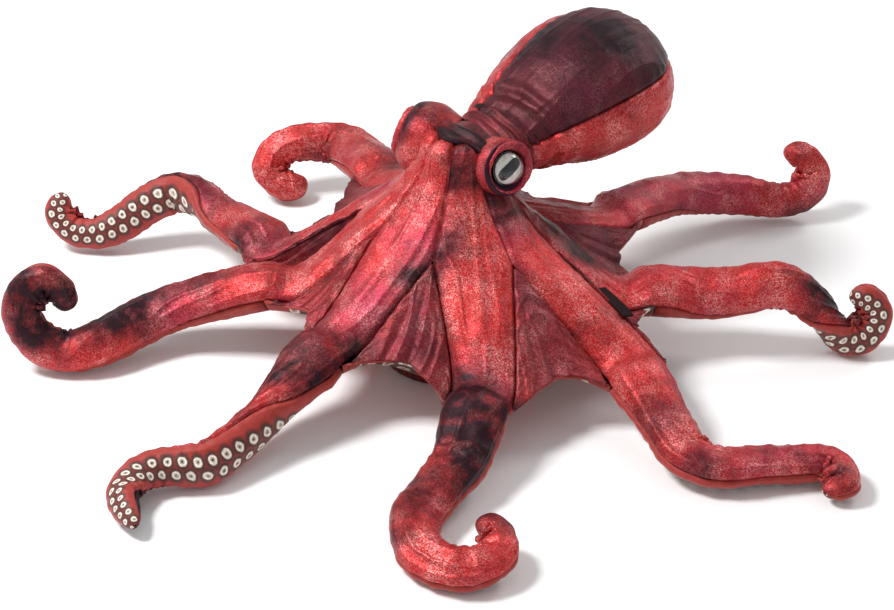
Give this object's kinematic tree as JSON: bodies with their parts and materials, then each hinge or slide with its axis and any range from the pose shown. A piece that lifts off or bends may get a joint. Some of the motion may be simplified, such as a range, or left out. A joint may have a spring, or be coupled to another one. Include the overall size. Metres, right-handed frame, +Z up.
{
  "type": "octopus hand puppet",
  "caption": "Plush octopus hand puppet with a stuffed mantle, plastic eyes and curled stuffed arms with printed suckers, sitting on the hem of its hand opening.",
  "frame": {"origin": "centre of the hand opening, on the floor plane that the hem roll rests on", "axes": "+Z up out of the floor, -Y the way the octopus faces, +X its left side"},
  "size_m": [0.678, 0.5863, 0.2123],
  "materials": {
    "velour_red": "short-pile stretch velour with a fine sparkle, mottled red",
    "velour_wine": "short-pile stretch velour with a fine sparkle, mottled wine",
    "velour_maroon": "short-pile stretch velour with a fine sparkle, dark maroon",
    "socket_velour": "dark purple velour",
    "sucker_print": "printed velour, cream rings on red-brown",
    "stuffing": "polyester fibre filling",
    "lining": "woven nylon lining",
    "hem_tape": "folded velour hem",
    "eye_clear": "clear polished acrylic",
    "eye_pearl": "pearl painted iris",
    "eye_black": "black moulded plastic",
    "washer_plastic": "moulded white plastic",
    "strap_elastic": "flat woven elastic"
  },
  "bodies": {
    "body": {"body_panel_left_1": "velour_red", "body_panel_left_2": "velour_red", "body_panel_left_3": "velour_red", "body_panel_left_4": "velour_red", "body_panel_right_4": "velour_red", "body_panel_right_3": "velour_red", "body_panel_right_2": "velour_red", "body_panel_right_1": "velour_red", "web_left_1_to_left_2": "velour_wine", "web_left_2_to_left_3": "velour_wine", "web_left_3_to_left_4": "velour_wine", "web_left_4_to_right_4": "velour_wine", "web_right_4_to_right_3": "velour_wine", "web_right_3_to_right_2": "velour_wine", "web_right_2_to_right_1": "velour_wine", "web_right_1_to_left_1": "velour_wine", "underside_panel": "sucker_print", "hem_roll": "hem_tape", "hand_lining": "lining", "body_stuffing": "stuffing", "head_cap": "velour_wine", "eyelid_left": "velour_red", "eyelid_right": "velour_red", "eye_socket_left": "socket_velour", "eye_socket_right": "socket_velour", "eye_domes": "eye_clear", "eye_irises": "eye_pearl", "eye_pupils": "eye_black", "eye_backs": "eye_black", "eye_washers": "washer_plastic", "web_strap": "strap_elastic"},
    "mantle": {"mantle_back_panel": "velour_maroon", "mantle_side_gusset": "velour_red", "mantle_belly_panel": "velour_red", "mantle_stuffing": "stuffing"},
    "arm_left_1": {"arm_top_left_1": "velour_red", "arm_under_left_1": "sucker_print", "arm_stuffing_left_1": "stuffing"},
    "arm_left_2": {"arm_top_left_2": "velour_red", "arm_under_left_2": "sucker_print", "arm_stuffing_left_2": "stuffing"},
    "arm_left_3": {"arm_top_left_3": "velour_red", "arm_under_left_3": "sucker_print", "arm_stuffing_left_3": "stuffing"},
    "arm_left_4": {"arm_top_left_4": "velour_red", "arm_under_left_4": "sucker_print", "arm_stuffing_left_4": "stuffing"},
    "arm_right_4": {"arm_top_right_4": "velour_red", "arm_under_right_4": "sucker_print", "arm_stuffing_right_4": "stuffing"},
    "arm_right_3": {"arm_top_right_3": "velour_red", "arm_under_right_3": "sucker_print", "arm_stuffing_right_3": "stuffing"},
    "arm_right_2": {"arm_top_right_2": "velour_red", "arm_under_right_2": "sucker_print", "arm_stuffing_right_2": "stuffing"},
    "arm_right_1": {"arm_top_right_1": "velour_red", "arm_under_right_1": "sucker_print", "arm_stuffing_right_1": "stuffing"}
  },
  "joints": [
    {"name": "mantle_nod", "type": "hinge", "parent": "body", "child": "mantle", "pos_m": [0.02179, 0.07077, 0.15], "axis": [0.891, -0.454, 0], "range_deg": [-10, 30]},
    {"name": "lift_left_1", "type": "hinge", "parent": "body", "child": "arm_left_1", "pos_m": [0.06, -0.135, 0.032], "axis": [-0.9968, -0.0804, 0], "range_deg": [-25, 45]},
    {"name": "lift_left_2", "type": "hinge", "parent": "body", "child": "arm_left_2", "pos_m": [0.165, -0.06, 0.034], "axis": [-0.7372, -0.6757, 0], "range_deg": [-25, 45]},
    {"name": "lift_left_3", "type": "hinge", "parent": "body", "child": "arm_left_3", "pos_m": [0.15, 0.052, 0.048], "axis": [0.426, -0.9047, 0], "range_deg": [-25, 45]},
    {"name": "lift_left_4", "type": "hinge", "parent": "body", "child": "arm_left_4", "pos_m": [0.095, 0.155, 0.054], "axis": [0.923, -0.3849, 0], "range_deg": [-25, 45]},
    {"name": "lift_right_4", "type": "hinge", "parent": "body", "child": "arm_right_4", "pos_m": [-0.115, 0.15, 0.058], "axis": [0.7721, 0.6355, 0], "range_deg": [-25, 45]},
    {"name": "lift_right_3", "type": "hinge", "parent": "body", "child": "arm_right_3", "pos_m": [-0.17, 0.032, 0.05], "axis": [0.5501, 0.8351, 0], "range_deg": [-25, 45]},
    {"name": "lift_right_2", "type": "hinge", "parent": "body", "child": "arm_right_2", "pos_m": [-0.14, -0.04, 0.048], "axis": [-0.2203, 0.9754, 0], "range_deg": [-25, 45]},
    {"name": "lift_right_1", "type": "hinge", "parent": "body", "child": "arm_right_1", "pos_m": [-0.065, -0.12, 0.044], "axis": [-0.9161, 0.4009, 0], "range_deg": [-25, 45]}
  ]
}
